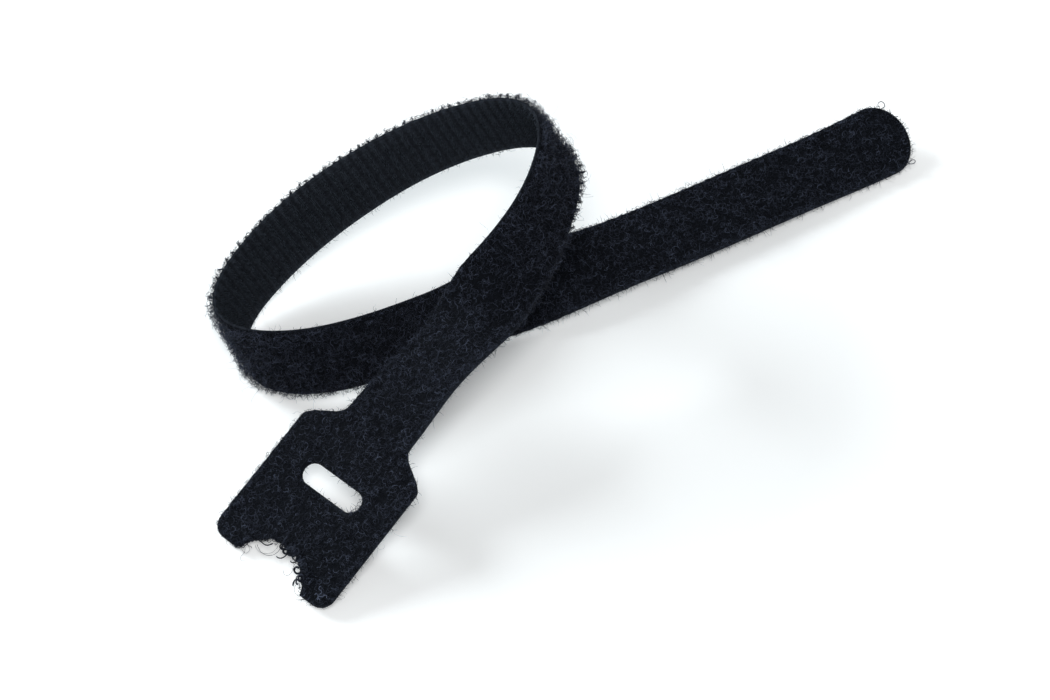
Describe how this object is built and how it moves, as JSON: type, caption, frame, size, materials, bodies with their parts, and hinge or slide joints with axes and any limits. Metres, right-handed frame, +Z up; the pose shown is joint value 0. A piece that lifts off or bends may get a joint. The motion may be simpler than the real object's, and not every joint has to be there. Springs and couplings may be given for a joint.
{
  "type": "hook and loop cable tie",
  "caption": "Black one-piece hook and loop cable tie with a slotted head, lying in a loop that crosses over itself, fuzzy outside and hooked inside.",
  "frame": {"origin": "centre of the box's base, on the surface that the tie lies on", "axes": "+Z up, +Y away from the head's side of the loop towards the tail's, +X towards the tail's tip, as the tie lies"},
  "size_m": [0.113, 0.096, 0.0341],
  "materials": {
    "woven_nylon": "matt black woven nylon with a fuzzy loop pile outside and rows of hooks inside"
  },
  "bodies": {
    "root": {"cable_tie": "woven_nylon"}
  },
  "joints": []
}
